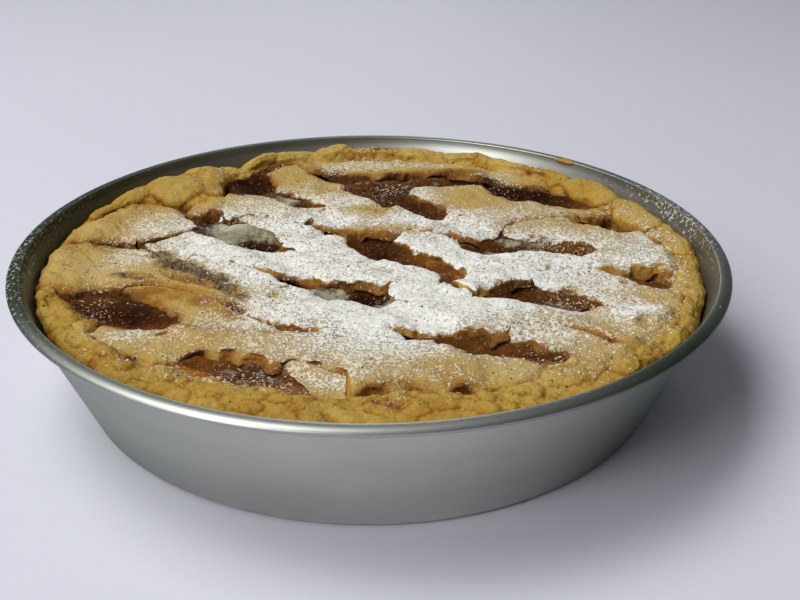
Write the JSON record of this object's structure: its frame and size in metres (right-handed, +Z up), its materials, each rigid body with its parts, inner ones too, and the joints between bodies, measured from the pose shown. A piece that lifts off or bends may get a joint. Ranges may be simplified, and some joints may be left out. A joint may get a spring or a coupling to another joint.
{
  "type": "pastiera",
  "caption": "Round wheat and ricotta tart with an uneven pastry lattice dusted with icing sugar, in its own flared aluminium tin with a rolled lip.",
  "frame": {"origin": "centre of the tin's base, on the surface it stands on", "axes": "+Z up out of the tin; the shown front of the tart faces -Y"},
  "size_m": [0.29, 0.29, 0.0548],
  "materials": {
    "tin_aluminium": "spun, satin, lightly scuffed",
    "baked_pastry": "baked short-crust pastry, dry and matt",
    "sugared_pastry": "baked short-crust pastry dusted with icing sugar",
    "wheat_filling": "browned, moist wheat and ricotta filling"
  },
  "bodies": {
    "root": {"tin": "tin_aluminium", "pastry_case": "baked_pastry", "filling": "wheat_filling", "lower_strip_1": "sugared_pastry", "lower_strip_2": "sugared_pastry", "lower_strip_3": "sugared_pastry", "lower_strip_4": "sugared_pastry", "lower_strip_5": "sugared_pastry", "upper_strip_1": "sugared_pastry", "upper_strip_2": "sugared_pastry", "upper_strip_3_left": "sugared_pastry", "upper_strip_3_middle": "sugared_pastry", "upper_strip_3_right": "sugared_pastry", "upper_strip_4": "sugared_pastry", "upper_strip_5": "sugared_pastry"}
  },
  "joints": []
}
